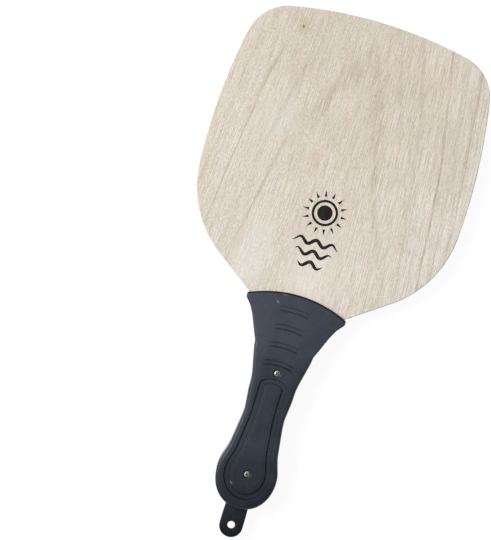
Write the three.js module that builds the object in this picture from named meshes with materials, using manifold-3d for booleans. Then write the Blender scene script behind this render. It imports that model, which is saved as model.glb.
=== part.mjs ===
// Wooden beach racket: a five-ply blade whose tongue is clamped between two moulded rubber grip covers by two
// through screws, each in a sleeve nut, with a hanging tab held at the butt.
// X runs across the racket, Y along it towards the blade, Z up out of the front face. Sizes are in millimetres.
import * as THREE from 'three';
import { mergeVertices } from 'three/addons/utils/BufferGeometryUtils.js';
import Module from 'manifold-3d';

const wasm = await Module();
wasm.setup();

// Driving dimensions. Places along the racket are measured from the butt of the grip.

// Blade outline: a chain of arcs, each running smoothly into the next, and a straight flank down to the grip
const racketLength = 404.5;
const bladeWidth = 217.6;
const bladeWidestY = 284;
const bladeTopRadius = 355;
const bladeShoulderRadius = 36;
const bladeSideRadius = 460;
const bladeLowerRadius = 86;
const flankAngle = THREE.MathUtils.degToRad(35.5);

// Plywood
const faceVeneerThickness = 1;
const innerPlyThickness = 2;
const innerPlyCount = 3;
const bladeEdgeEase = 0.7;

// Tongue of the blade, inside the grip
const tongueEndY = 19;
const tongueCornerCut = 5;

// Grip covers: outline. The butt is blunter than an ellipse, which would have a fullness of 1.
const buttCentreY = 28.5;
const buttHalfWidth = 24.6;
const buttFullness = 0.93;
const neckY = 77.5;
const neckHalfWidth = 16.5;
const headCornerY = 167.4;
const headHalfWidth = 41;
const headCornerEdge = 3.6;
const headArcRise = 9.1;
const buttToNeckShares = [
  [0.07, 0.035], [0.14, 0.125], [0.2, 0.235], [0.27, 0.375], [0.34, 0.5], [0.4, 0.58], [0.6, 0.745], [0.85, 0.935],
];
const neckToHeadShares = [
  [0.07, 0.025], [0.18, 0.066], [0.29, 0.078], [0.36, 0.12], [0.48, 0.215], [0.58, 0.295], [0.63, 0.31],
  [0.7, 0.42], [0.85, 0.64], [0.93, 0.79],
];

// Grip covers: heights above the plane in which they part
const gripHalfThickness = 13;
const headHalfThickness = 8.5;
const edgeRound = 2.5;
const headEdgeRound = 1.2;
const edgeSlopeDrop = 1.2;
const headSlopeDrop = 1.6;
const edgeSlopeWidth = 9;
const headSlopeWidth = 24;
const rimRoundShare = 0.3;
const rimSlopeShare = 0.6;
const rimWidthShares = [0, 0.1, 0.3, 0.5, 0.65, 0.78, 0.9];

// Grip covers: walls, pocket and the clearance round the wood
const coverWall = 3;
const coverCornerWall = 1.2;
const pocketClearance = 0.3;

// Raised pad on each cover, bounded by a channel
const channelBulbHalfWidth = 18.4;
const channelNeckHalfWidth = 11.2;
const channelEndY = 8;
const channelTopY = 103.2;
const channelTopRise = 3.8;
const channelWidth = 4.1;
const channelWallRun = 0.7;
const channelDepth = 1;

// Arched ribs on the head of each cover, each between two grooves
const ribFirstY = 119.8;
const ribSpacing = 14.5;
const ribCount = 4;
const ribHalfLength = 13;
const ribFirstRise = 2.2;
const ribLastRise = 1.1;
const ribWidth = 3.4;
const ribGrooveWidth = 1.4;
const ribGrooveDepth = 0.5;

// Hanging tab
const tabLength = 25.4;
const tabTipRadius = 9.5;
const tabRootHalfWidth = 9.3;
const tabThickness = 3;
const tabHoleDiameter = 6;
const tabHoleFromTip = 10;
const tabHeadY = 6;
const tabHeadDepth = 8;
const tabHeadHalfWidth = 12.5;
const tabEdgeEase = 0.4;

// Screws and their sleeve nuts
const upperBoltY = 112;
const boltSeatHeight = 10.6;
const boltHeadDiameter = 5.2;
const boltHeadThickness = 1.8;
const boltHeadEdge = 1;
const boltHeadCrownShare = 0.62;
const screwDiameter = 2.9;
const screwTipGap = 1;
const sleeveDiameter = 4.2;
const sleeveFloor = 2;
const sleeveMouthGap = 0.5;
const boltClearance = 0.15;
const headPocketClearance = 0.3;
const recessLength = 3;
const recessWidth = 0.8;
const recessDepth = 0.9;

// How far a cutting shape runs past what it cuts, and how finely round things are divided
const overrun = 2;
const grooveOverrun = 0.3;
const boltSegments = 20;
const buttSteps = 9;
const ribSteps = 6;
const channelTopSteps = 4;
const lowerArcSteps = 8;
const sideArcSteps = 6;
const shoulderArcSteps = 8;
const topArcSteps = 5;

// Sizes that follow from them
const woodHalfThickness = faceVeneerThickness + innerPlyThickness * innerPlyCount / 2;
const headApexY = headCornerY + headArcRise;
const tongueInset = coverWall + pocketClearance;
const boltHoleRadius = sleeveDiameter / 2 + boltClearance;
const boltPocketRadius = boltHeadDiameter / 2 + headPocketClearance;
const lowerBoltY = buttCentreY;

// Materials, one for each finish
const rubber = new THREE.MeshStandardMaterial({ color: 0x33383f, roughness: 0.62, metalness: 0 });
const tabRubber = new THREE.MeshStandardMaterial({ color: 0x1e2023, roughness: 0.55, metalness: 0 });
const paleWood = new THREE.MeshStandardMaterial({ color: 0xd9cdbb, roughness: 0.75, metalness: 0 });
const crossWood = new THREE.MeshStandardMaterial({ color: 0xc2ab8a, roughness: 0.8, metalness: 0 });
const steel = new THREE.MeshStandardMaterial({ color: 0xc9cac4, roughness: 0.3, metalness: 1 });

// Solids: a closed geometry goes in, solids are joined or cut, and a geometry comes out
function solid(geometry) {
  const bare = geometry.clone();
  bare.deleteAttribute('normal');
  bare.deleteAttribute('uv');
  const welded = mergeVertices(bare);
  return new wasm.Manifold(new wasm.Mesh({
    numProp: 3,
    vertProperties: new Float32Array(welded.attributes.position.array),
    triVerts: new Uint32Array(welded.index.array),
  }));
}

function geometryOf(body) {
  const mesh = body.getMesh();
  const geometry = new THREE.BufferGeometry();
  geometry.setAttribute('position', new THREE.Float32BufferAttribute(mesh.vertProperties, mesh.numProp));
  geometry.setIndex(Array.from(mesh.triVerts));
  geometry.computeVertexNormals();
  return geometry;
}

function cut(body, tools) {
  return tools.reduce((left, tool) => left.subtract(tool), body);
}

// A straight prism on an outline, from one height to another
function prism(points, lowZ, highZ) {
  const geometry = new THREE.ExtrudeGeometry(new THREE.Shape(points), {
    depth: highZ - lowZ, bevelEnabled: false,
  });
  return geometry.translate(0, 0, lowZ);
}

function upright(radius, y, lowZ, highZ) {
  const geometry = new THREE.CylinderGeometry(radius, radius, highZ - lowZ, boltSegments);
  return geometry.rotateX(Math.PI / 2).translate(0, y, (lowZ + highZ) / 2);
}

// The right half of an outline, from low to high, becomes the whole outline, anticlockwise
function bothSides(right) {
  const left = right.filter((point) => point.x > 0).map((point) => new THREE.Vector2(-point.x, point.y));
  return [...right, ...left.reverse()];
}

// The point to the right of two centres that lies at a given distance from each
function between(centreA, distanceA, centreB, distanceB) {
  const line = centreB.clone().sub(centreA);
  const span = line.length();
  const along = (distanceA ** 2 - distanceB ** 2 + span ** 2) / (2 * span);
  const aside = Math.sqrt(distanceA ** 2 - along ** 2);
  line.divideScalar(span);
  return centreA.clone().addScaledVector(line, along)
    .addScaledVector(new THREE.Vector2(line.y, -line.x), -Math.sign(line.x) * aside);
}

// Stations of the grip covers' outline between the butt and the head's corners: place along, half-width
const gripStations = [
  [buttCentreY, buttHalfWidth],
  ...buttToNeckShares.map(([along, narrowed]) => [
    THREE.MathUtils.lerp(buttCentreY, neckY, along), THREE.MathUtils.lerp(buttHalfWidth, neckHalfWidth, narrowed),
  ]),
  [neckY, neckHalfWidth],
  ...neckToHeadShares.map(([along, widened]) => [
    THREE.MathUtils.lerp(neckY, headCornerY - headCornerEdge, along),
    THREE.MathUtils.lerp(neckHalfWidth, headHalfWidth, widened),
  ]),
  [headCornerY - headCornerEdge, headHalfWidth],
  [headCornerY, headHalfWidth],
];

// Right side of the grip covers: the round butt, then the stations up to the head's corner
function gripSide() {
  const side = [];
  for (let step = 1; step < buttSteps; step += 1) {
    const angle = step / buttSteps * Math.PI / 2;
    side.push(new THREE.Vector2(
      buttHalfWidth * Math.sin(angle) ** buttFullness, buttCentreY * (1 - Math.cos(angle) ** buttFullness),
    ));
  }
  gripStations.forEach(([y, half]) => side.push(new THREE.Vector2(half, y)));
  return side;
}

// The head rises in an arch between its corners, and the arch dies out towards the neck
function archedY(x, sideY, half) {
  const rise = headArcRise * Math.max(0, (sideY - neckY) / (headCornerY - neckY)) ** 2;
  return sideY + rise * (1 - (x / half) ** 2);
}

// Height of a cover's outer surface above the parting plane
const gripRim = [new THREE.Vector2(0, 0), ...gripSide()];

function distanceToRim(x, y) {
  const point = new THREE.Vector3(Math.abs(x), y, 0);
  const foot = new THREE.Vector3();
  let nearest = Infinity;
  for (let i = 1; i < gripRim.length; i += 1) {
    const start = new THREE.Vector3(gripRim[i - 1].x, gripRim[i - 1].y, 0);
    const end = new THREE.Vector3(gripRim[i].x, gripRim[i].y, 0);
    new THREE.Line3(start, end).closestPointToPoint(point, true, foot);
    nearest = Math.min(nearest, foot.distanceTo(point));
  }
  return nearest;
}

function surfaceHeight(x, y) {
  const { lerp, smoothstep } = THREE.MathUtils;
  const ramp = smoothstep(y, channelTopY + channelTopRise, headApexY);
  const rim = distanceToRim(x, y);
  const slopeWidth = lerp(edgeSlopeWidth, headSlopeWidth, ramp);
  const slope = lerp(edgeSlopeDrop, headSlopeDrop, ramp) * (1 - Math.min(1, rim / slopeWidth)) ** 2;
  const radius = lerp(edgeRound, headEdgeRound, ramp);
  const round = radius - Math.sqrt(radius ** 2 - Math.max(0, radius - rim) ** 2);
  return lerp(gripHalfThickness, headHalfThickness, ramp) - slope - round;
}

// A cover before it is cut: its surface on a grid of stations, down to a flat parting face
function coverBlank() {
  const insets = [
    0, edgeRound * rimRoundShare, edgeRound, edgeSlopeWidth * rimSlopeShare, edgeSlopeWidth,
    headSlopeWidth * rimSlopeShare, headSlopeWidth,
  ];
  const rows = gripSide().map(({ x: half, y }) => {
    const right = insets.map((inset, i) => half - Math.min(inset, half * rimWidthShares[i]));
    return [...right.map((x) => -x), 0, ...right.reverse()].map((x) => {
      const placeY = archedY(x, y, half);
      return new THREE.Vector3(x, placeY, surfaceHeight(x, placeY));
    });
  });
  const columns = rows[0].length;
  const points = rows.flat();
  const faces = [];
  const at = (row, column) => row * columns + column;
  for (let row = 1; row < rows.length; row += 1) {
    for (let column = 1; column < columns; column += 1) {
      const corners = [at(row - 1, column - 1), at(row - 1, column), at(row, column), at(row, column - 1)];
      faces.push(corners[0], corners[1], corners[2], corners[0], corners[2], corners[3]);
    }
  }
  const rim = [];
  for (let column = 0; column < columns; column += 1) rim.push(at(0, column));
  for (let row = 1; row < rows.length; row += 1) rim.push(at(row, columns - 1));
  for (let column = columns - 2; column >= 0; column -= 1) rim.push(at(rows.length - 1, column));
  for (let row = rows.length - 2; row > 0; row -= 1) rim.push(at(row, 0));
  const below = rim.map((index) => points.push(new THREE.Vector3(points[index].x, points[index].y, 0)) - 1);
  rim.forEach((upper, i) => {
    const next = (i + 1) % rim.length;
    faces.push(upper, below[i], below[next], upper, below[next], rim[next]);
  });
  const flat = below.map((index) => new THREE.Vector2(points[index].x, points[index].y));
  THREE.ShapeUtils.triangulateShape(flat, []).forEach(([a, b, c]) => faces.push(below[a], below[c], below[b]));
  const geometry = new THREE.BufferGeometry().setFromPoints(points);
  geometry.setIndex(faces);
  return geometry;
}

// A groove that follows a path on the cover. Each of its sections is given by its corners, from right to left, as
// steps to the left of the path and heights over the surface.
function groove(path, sections, closed) {
  const points = [];
  path.forEach((place, i) => {
    const before = path[closed ? (i + path.length - 1) % path.length : Math.max(0, i - 1)];
    const after = path[closed ? (i + 1) % path.length : Math.min(path.length - 1, i + 1)];
    const into = place.clone().sub(before).normalize();
    const out = after.clone().sub(place).normalize();
    const ahead = into.clone().add(out).normalize();
    const mitre = 1 / Math.max(ahead.dot(into), ahead.dot(out));
    sections[i].forEach(([aside, height]) => {
      const x = place.x - ahead.y * aside * mitre;
      const y = place.y + ahead.x * aside * mitre;
      points.push(new THREE.Vector3(x, y, surfaceHeight(x, y) + height));
    });
  });
  const faces = [];
  const corners = sections[0].length;
  const lengths = closed ? path.length : path.length - 1;
  for (let i = 0; i < lengths; i += 1) {
    const next = (i + 1) % path.length;
    for (let corner = 0; corner < corners; corner += 1) {
      const other = (corner + 1) % corners;
      const [a, b] = [i * corners + corner, next * corners + corner];
      const [c, d] = [next * corners + other, i * corners + other];
      faces.push(a, c, b, a, d, c);
    }
  }
  const last = (path.length - 1) * corners;
  for (let corner = 2; corner < corners && !closed; corner += 1) {
    faces.push(0, corner, corner - 1, last, last + corner - 1, last + corner);
  }
  const geometry = new THREE.BufferGeometry().setFromPoints(points);
  geometry.setIndex(faces);
  return geometry;
}

// Outer line of the channel, anticlockwise: round the bulb, up to the arched top and back down
function channelOutline() {
  const right = [];
  for (let step = 0; step < buttSteps; step += 1) {
    const angle = step / buttSteps * Math.PI / 2;
    right.push(new THREE.Vector2(
      channelBulbHalfWidth * Math.sin(angle), buttCentreY - (buttCentreY - channelEndY) * Math.cos(angle),
    ));
  }
  right.push(new THREE.Vector2(channelBulbHalfWidth, buttCentreY));
  buttToNeckShares.forEach(([along, narrowed]) => right.push(new THREE.Vector2(
    THREE.MathUtils.lerp(channelBulbHalfWidth, channelNeckHalfWidth, narrowed),
    THREE.MathUtils.lerp(buttCentreY, neckY, along),
  )));
  right.push(new THREE.Vector2(channelNeckHalfWidth, neckY));
  for (let step = channelTopSteps; step >= 0; step -= 1) {
    const across = step / channelTopSteps;
    right.push(new THREE.Vector2(
      channelNeckHalfWidth * across, channelTopY + channelTopRise * (1 - across ** 2),
    ));
  }
  return bothSides(right);
}

function channelCutter() {
  const wallOverrun = channelWallRun * grooveOverrun / channelDepth;
  const section = [
    [-wallOverrun, grooveOverrun], [channelWallRun, -channelDepth],
    [channelWidth - channelWallRun, -channelDepth], [channelWidth + wallOverrun, grooveOverrun],
  ];
  const path = channelOutline();
  return groove(path, path.map(() => section), true);
}

function ribCutters() {
  const cutters = [];
  for (let rib = 0; rib < ribCount; rib += 1) {
    const rise = THREE.MathUtils.lerp(ribFirstRise, ribLastRise, rib / (ribCount - 1));
    [-ribWidth / 2, ribWidth / 2].forEach((offset) => {
      const path = [];
      const sections = [];
      for (let step = 0; step <= ribSteps; step += 1) {
        const across = step / ribSteps * 2 - 1;
        const depth = ribGrooveDepth * (1 - across ** 4) - grooveOverrun / 2 * across ** 4;
        const y = ribFirstY + ribSpacing * rib + offset - rise * across ** 2;
        path.push(new THREE.Vector2(ribHalfLength * across, y));
        sections.push([[-ribGrooveWidth / 2, grooveOverrun], [0, -depth], [ribGrooveWidth / 2, grooveOverrun]]);
      }
      cutters.push(groove(path, sections, false));
    });
  }
  return cutters;
}

// Outline of the wood: tongue, shoulder at the mouth of the grip, straight flank and the blade's arcs
function woodOutline() {
  const tongueHalf = neckHalfWidth - tongueInset;
  const right = [
    new THREE.Vector2(tongueHalf - tongueCornerCut, tongueEndY),
    new THREE.Vector2(tongueHalf, tongueEndY + tongueCornerCut),
  ];
  gripStations.filter(([y]) => y >= neckY && y < headCornerY).forEach(([y, half]) => {
    right.push(new THREE.Vector2(half - tongueInset, y));
  });
  [tongueInset, coverCornerWall].forEach((inset) => {
    const x = headHalfWidth - inset;
    right.push(new THREE.Vector2(x, archedY(x, headCornerY, headHalfWidth) + pocketClearance));
  });
  const corner = right[right.length - 1];
  const sideCentre = new THREE.Vector2(bladeWidth / 2 - bladeSideRadius, bladeWidestY);
  const topCentre = new THREE.Vector2(0, racketLength - bladeTopRadius);
  const shoulderCentre = between(
    topCentre, bladeTopRadius - bladeShoulderRadius, sideCentre, bladeSideRadius - bladeShoulderRadius,
  );
  const flank = new THREE.Vector2(Math.cos(flankAngle), Math.sin(flankAngle));
  const start = corner.clone().addScaledVector(new THREE.Vector2(-flank.y, flank.x), bladeLowerRadius);
  const offset = start.clone().sub(sideCentre);
  const reach = bladeSideRadius - bladeLowerRadius;
  const ahead = offset.dot(flank);
  const lowerCentre = start.clone()
    .addScaledVector(flank, Math.sqrt(ahead ** 2 - offset.lengthSq() + reach ** 2) - ahead);
  const angles = [
    flankAngle - Math.PI / 2,
    lowerCentre.clone().sub(sideCentre).angle(),
    shoulderCentre.clone().sub(sideCentre).angle(),
    shoulderCentre.clone().sub(topCentre).angle(),
    Math.PI / 2,
  ].map((angle) => (angle > Math.PI ? angle - Math.PI * 2 : angle));
  const arcs = [
    [lowerCentre, bladeLowerRadius, lowerArcSteps],
    [sideCentre, bladeSideRadius, sideArcSteps],
    [shoulderCentre, bladeShoulderRadius, shoulderArcSteps],
    [topCentre, bladeTopRadius, topArcSteps],
  ];
  arcs.forEach(([centre, radius, steps], i) => {
    for (let step = i ? 1 : 0; step <= steps; step += 1) {
      const angle = THREE.MathUtils.lerp(angles[i], angles[i + 1], step / steps);
      right.push(new THREE.Vector2(centre.x + radius * Math.cos(angle), centre.y + radius * Math.sin(angle)));
    }
  });
  right[right.length - 1].x = 0;
  return bothSides(right);
}

// The glued blank has eased edges and is parted into its plies
function woodBlank() {
  const geometry = new THREE.ExtrudeGeometry(new THREE.Shape(woodOutline()), {
    depth: (woodHalfThickness - bladeEdgeEase) * 2,
    bevelThickness: bladeEdgeEase, bevelSize: bladeEdgeEase, bevelOffset: -bladeEdgeEase, bevelSegments: 1,
  });
  geometry.translate(0, 0, bladeEdgeEase - woodHalfThickness);
  const holes = [lowerBoltY, upperBoltY].map((y) => solid(
    upright(boltHoleRadius, y, -woodHalfThickness - overrun, woodHalfThickness + overrun),
  ));
  return cut(solid(geometry), holes);
}

function ply(blank, lowZ, thickness) {
  const slab = new THREE.BoxGeometry(bladeWidth + overrun, (racketLength + overrun) * 2, thickness);
  return geometryOf(blank.intersect(solid(slab.translate(0, 0, lowZ + thickness / 2))));
}

// Pocket for the tongue, open towards the blade
function tonguePocket() {
  const right = [new THREE.Vector2(neckHalfWidth - coverWall, tongueEndY - pocketClearance)];
  gripStations.filter(([y]) => y >= neckY).forEach(([y, half]) => {
    right.push(new THREE.Vector2(half - coverWall, y));
  });
  right.push(new THREE.Vector2(headHalfWidth - coverWall, headApexY + overrun));
  return bothSides(right);
}

// Outline of the hanging tab, or of the pocket that holds its head when a clearance is given
function tabOutline(clearance) {
  const headHalf = tabHeadHalfWidth + clearance;
  const rootHalf = tabRootHalfWidth + clearance;
  const right = [];
  if (clearance > 0) {
    right.push(new THREE.Vector2(rootHalf, -tabLength));
  } else {
    for (let step = 0; step <= buttSteps; step += 1) {
      const angle = step / buttSteps * Math.PI / 2;
      right.push(new THREE.Vector2(
        tabTipRadius * Math.sin(angle), tabTipRadius * (1 - Math.cos(angle)) - tabLength,
      ));
    }
    right.push(new THREE.Vector2(rootHalf, 0));
  }
  right.push(
    new THREE.Vector2(rootHalf, tabHeadY - clearance),
    new THREE.Vector2(headHalf, tabHeadY - clearance),
    new THREE.Vector2(headHalf, tabHeadY + tabHeadDepth + clearance),
  );
  return bothSides(right);
}

function hangingTab() {
  const shape = new THREE.Shape(tabOutline(0));
  const holeY = tabHoleFromTip - tabLength;
  shape.holes.push(new THREE.Path().absarc(0, holeY, tabHoleDiameter / 2, 0, Math.PI * 2, true));
  const geometry = new THREE.ExtrudeGeometry(shape, {
    depth: tabThickness - tabEdgeEase * 2, curveSegments: boltSegments,
    bevelThickness: tabEdgeEase, bevelSize: tabEdgeEase, bevelOffset: -tabEdgeEase, bevelSegments: 1,
  });
  return geometry.translate(0, 0, tabEdgeEase - tabThickness / 2);
}

// A cover: the blank less its pockets, screw holes, pad channel and rib grooves
function gripCover() {
  const tools = [
    prism(tonguePocket(), -overrun, woodHalfThickness),
    prism(tabOutline(pocketClearance), -overrun, tabThickness / 2),
    channelCutter(),
    ...ribCutters(),
  ];
  [lowerBoltY, upperBoltY].forEach((y) => {
    tools.push(upright(boltHoleRadius, y, -overrun, gripHalfThickness + overrun));
    tools.push(upright(boltPocketRadius, y, boltSeatHeight, gripHalfThickness + overrun));
  });
  return geometryOf(cut(solid(coverBlank()), tools.map(solid)));
}

function turned(profile) {
  const points = profile.map(([radius, height]) => new THREE.Vector2(radius, height));
  return new THREE.LatheGeometry(points, boltSegments).rotateX(Math.PI / 2);
}

// Bar-shaped recess of a screw head, cut down from the head's top
function recess(turn) {
  const bar = new THREE.BoxGeometry(recessLength, recessWidth, recessDepth * 2);
  return solid(bar.rotateZ(turn).translate(0, 0, boltSeatHeight + boltHeadThickness));
}

// Both profiles run outwards from the axis and back to it. The screw points down, and the nut's head is below.
function screw() {
  const top = boltSeatHeight + boltHeadThickness;
  const blank = turned([
    [0, -boltSeatHeight + sleeveFloor + screwTipGap],
    [screwDiameter / 2, -boltSeatHeight + sleeveFloor + screwTipGap],
    [screwDiameter / 2, boltSeatHeight],
    [boltHeadDiameter / 2, boltSeatHeight],
    [boltHeadDiameter / 2, boltSeatHeight + boltHeadEdge],
    [boltHeadDiameter / 2 * boltHeadCrownShare, top],
    [0, top],
  ]);
  return geometryOf(cut(solid(blank), [recess(0), recess(Math.PI / 2)]));
}

function sleeveNut() {
  const top = boltSeatHeight + boltHeadThickness;
  const bore = screwDiameter / 2 + boltClearance;
  const blank = turned([
    [0, -top],
    [boltHeadDiameter / 2 * boltHeadCrownShare, -top],
    [boltHeadDiameter / 2, -boltSeatHeight - boltHeadEdge],
    [boltHeadDiameter / 2, -boltSeatHeight],
    [sleeveDiameter / 2, -boltSeatHeight],
    [sleeveDiameter / 2, boltSeatHeight - sleeveMouthGap],
    [bore, boltSeatHeight - sleeveMouthGap],
    [bore, -boltSeatHeight + sleeveFloor],
    [0, -boltSeatHeight + sleeveFloor],
  ]);
  const slot = new THREE.BoxGeometry(boltHeadDiameter + overrun, recessWidth, recessDepth * 2);
  return geometryOf(cut(solid(blank), [solid(slot.translate(0, 0, -top))]));
}

// The same shape on the other side of the parting plane, with its faces still pointing out
function mirrored(geometry) {
  const copy = geometry.clone().scale(1, 1, -1);
  const index = copy.index.array;
  for (let i = 0; i < index.length; i += 3) [index[i], index[i + 1]] = [index[i + 1], index[i]];
  copy.computeVertexNormals();
  return copy;
}

// Assembly. The racket lies on its back cover, with its origin under the middle of its length.
const racket = new THREE.Group();
racket.position.set(0, (tabLength - racketLength) / 2, gripHalfThickness);

function add(name, geometry, material, y = 0) {
  const mesh = new THREE.Mesh(geometry, material);
  mesh.name = name;
  mesh.position.y = y;
  racket.add(mesh);
}

const blank = woodBlank();
const plies = [
  ['back_face_veneer', faceVeneerThickness, paleWood],
  ['back_cross_ply', innerPlyThickness, crossWood],
  ['core_ply', innerPlyThickness, paleWood],
  ['front_cross_ply', innerPlyThickness, crossWood],
  ['front_face_veneer', faceVeneerThickness, paleWood],
];
let glueLine = -woodHalfThickness;
plies.forEach(([name, thickness, material]) => {
  add(name, ply(blank, glueLine, thickness), material);
  glueLine += thickness;
});

const cover = gripCover();
add('front_grip_cover', cover, rubber);
add('back_grip_cover', mirrored(cover), rubber);
add('hanging_tab', hangingTab(), tabRubber);
[['lower', lowerBoltY], ['upper', upperBoltY]].forEach(([place, y]) => {
  add(`${place}_screw`, screw(), steel, y);
  add(`${place}_sleeve_nut`, sleeveNut(), steel, y);
});

export default racket;
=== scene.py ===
import cmath
import math

import bmesh
import bpy
import numpy as np
from mathutils import Matrix, Vector
from mathutils.geometry import delaunay_2d_cdt
from mathutils.kdtree import KDTree


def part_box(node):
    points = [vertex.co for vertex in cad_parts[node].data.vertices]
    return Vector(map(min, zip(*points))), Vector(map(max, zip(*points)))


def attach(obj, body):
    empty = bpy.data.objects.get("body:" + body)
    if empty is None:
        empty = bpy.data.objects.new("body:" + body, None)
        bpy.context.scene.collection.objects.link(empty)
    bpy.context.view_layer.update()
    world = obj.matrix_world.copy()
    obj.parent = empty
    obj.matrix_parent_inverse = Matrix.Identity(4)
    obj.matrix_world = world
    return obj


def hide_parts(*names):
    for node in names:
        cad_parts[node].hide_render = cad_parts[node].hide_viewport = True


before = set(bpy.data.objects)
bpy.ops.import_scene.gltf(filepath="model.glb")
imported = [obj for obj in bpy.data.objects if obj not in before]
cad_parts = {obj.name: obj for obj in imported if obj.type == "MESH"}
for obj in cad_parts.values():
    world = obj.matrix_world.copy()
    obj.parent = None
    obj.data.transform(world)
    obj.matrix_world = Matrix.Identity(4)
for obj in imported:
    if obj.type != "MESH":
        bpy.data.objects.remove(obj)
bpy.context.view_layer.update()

# Camera: it looks straight down on the racket, which lies tilted on the table with its grip towards the
# viewer. It is turned and placed so that the upper screw falls on the same point of the picture as in the
# photograph.
photo_size = complex(491, 540)
upper_screw_pixel = complex(276.9, 372.9)
pixels_per_metre = 1250
racket_tilt = math.radians(16.715)
camera_height = 1.2
sensor_height = 24

scene = bpy.context.scene


def into_scene(name, data):
    """A new object at the origin."""
    made = bpy.data.objects.new(name, data)
    scene.collection.objects.link(made)
    return made


screw_low, screw_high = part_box("upper_screw")
screw_spot = complex(0, (screw_low.y + screw_high.y) / 2)
blade_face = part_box("front_face_veneer")[1].z
aside = (photo_size / 2 - upper_screw_pixel).conjugate() / pixels_per_metre
camera_spot = screw_spot + aside * cmath.rect(1, racket_tilt)
lens = bpy.data.cameras.new("overhead_camera")
lens.sensor_fit = "VERTICAL"
lens.sensor_height = sensor_height
lens.lens = sensor_height * camera_height * pixels_per_metre / photo_size.imag
camera = into_scene("overhead_camera", lens)
camera.location = (camera_spot.real, camera_spot.imag, blade_face + camera_height)
camera.rotation_euler.z = racket_tilt
scene.camera = camera
scene.view_settings.view_transform = "Standard"

# Light: one broad soft lamp from the left of the picture and an even pale surround, as in a small photo tent.
# Together they light a level surface so that its colour shows about as it is written.
lamp_power = 512
lamp_width = 3.7
lamp_distance = 7
lamp_rise = math.radians(48)
lamp_bearing = math.radians(150)
surround_strength = 0.3

lamp_data = bpy.data.lights.new("soft_lamp", "AREA")
lamp_data.shape = "DISK"
lamp_data.size = lamp_width
lamp_data.energy = lamp_power
lamp = into_scene("soft_lamp", lamp_data)
lamp_aim = cmath.rect(math.cos(lamp_rise), lamp_bearing + racket_tilt)
lamp.location = [part * lamp_distance for part in (lamp_aim.real, lamp_aim.imag, math.sin(lamp_rise))]
lamp.rotation_euler = lamp.location.to_track_quat("Z", "Y").to_euler()
scene.world = bpy.data.worlds.new("surround")
scene.world.use_nodes = True
background = scene.world.node_tree.nodes["Background"].inputs
background["Color"].default_value = (1, 1, 1, 1)
background["Strength"].default_value = surround_strength

# Table: a round white matt board that reaches past every view and sweeps up all round, as in a photo tent.
# Seen directly or in a reflection it glows a little, so that it is as white as the photograph's ground, and
# it keeps the racket's soft shadow.
table_reach = 12
sweep_reach = 20
sweep_height = 5.5
table_points = 64
table_colour = (0.1, 0.1, 0.1, 1)
table_bounce = (0.8, 0.8, 0.8, 1)
table_glow = 0.93


def place_node(tree, kind, inputs=None, **settings):
    """Adds a node, sets its options, and links or fills the inputs that are named."""
    node = tree.nodes.new(kind)
    for option, value in settings.items():
        setattr(node, option, value)
    for key, value in (inputs or {}).items():
        if isinstance(value, bpy.types.NodeSocket):
            tree.links.new(value, node.inputs[key])
        else:
            node.inputs[key].default_value = value
    return node


def result(kind, inputs=None, output=0, tree=None, **settings):
    """One output of a new node, in the tree of the values that it takes, or for a source in a given tree."""
    for value in (inputs or {}).values():
        if isinstance(value, bpy.types.NodeSocket):
            tree = value.id_data
    return place_node(tree, kind, inputs, **settings).outputs[output]


def maths(operation, *values, clamp=False):
    """A Math node's result."""
    return result("ShaderNodeMath", dict(enumerate(values)), operation=operation, use_clamp=clamp)


def new_material(name):
    material = bpy.data.materials.new(name)
    material.use_nodes = True
    material.node_tree.nodes.clear()
    return material, material.node_tree


def surface_output(shader):
    place_node(shader.id_data, "ShaderNodeOutputMaterial", {"Surface": shader})


table_finish, tree = new_material("white_board")
seen = place_node(tree, "ShaderNodeLightPath").outputs
direct = maths("ADD", seen["Is Camera Ray"], seen["Is Glossy Ray"])
direct = maths("ADD", direct, seen["Is Transmission Ray"], clamp=True)
bounced = result("ShaderNodeBsdfDiffuse", {"Color": table_bounce}, tree=tree)
shown = result("ShaderNodeBsdfDiffuse", {"Color": table_colour}, tree=tree)
glow = result("ShaderNodeEmission", {"Strength": table_glow}, tree=tree)
shown = result("ShaderNodeAddShader", {0: shown, 1: glow})
surface_output(result("ShaderNodeMixShader", {0: direct, 1: bounced, 2: shown}))
table_mesh = bpy.data.meshes.new("table")
around = [cmath.rect(1, 2 * math.pi * i / table_points) for i in range(table_points)]
corners = [(spot.real * reach, spot.imag * reach, height)
           for reach, height in ((table_reach, 0), (sweep_reach, sweep_height)) for spot in around]
board_faces = [tuple(range(table_points))]
for i in range(table_points):
    after = (i + 1) % table_points
    board_faces.append((i, i + table_points, after + table_points, after))
table_mesh.from_pydata(corners, [], board_faces)
table_mesh.materials.append(table_finish)
table = into_scene("table", table_mesh)

# Blade plies: five thin sheets of light wood, glued with the second and fourth crosswise, then sawn as one
# to the blade's outline with a tongue for the grip. The rim is sanded round, and the glue lines stay a touch
# below it.
upper_bolt = 0.112
lower_bolt = 0.0285
butt = screw_spot.imag - upper_bolt
racket_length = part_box("front_face_veneer")[1].y - butt
blade_width = 0.2174
blade_widest = 0.284
top_radius = 0.355
shoulder_radius = 0.036
side_radius = 0.46
lower_radius = 0.086
flank_angle = math.radians(35.5)
arc_points = 40
tongue_end = 0.019
tongue_corner = 0.005
cover_wall = 0.003
pocket_clearance = 0.0003
corner_wall = 0.0012
sleeve_hole_radius = 0.00225
sleeve_hole_points = 32
rim_radius = 0.0009
rim_steps = 5
sharp_angle = math.radians(32)
glue_line = 0.00012
ply_recess = {"core_ply": 0.00002, "front_cross_ply": 0.00008, "back_cross_ply": 0.00008}
ply_slots = {"front_face_veneer": "face_wood", "front_cross_ply": "cross_wood", "core_ply": "core_wood",
             "back_cross_ply": "cross_wood", "back_face_veneer": "face_wood"}
neck = 0.0775
head_corner = 0.1674
head_half_width = 0.041
head_rise = 0.0091
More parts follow.
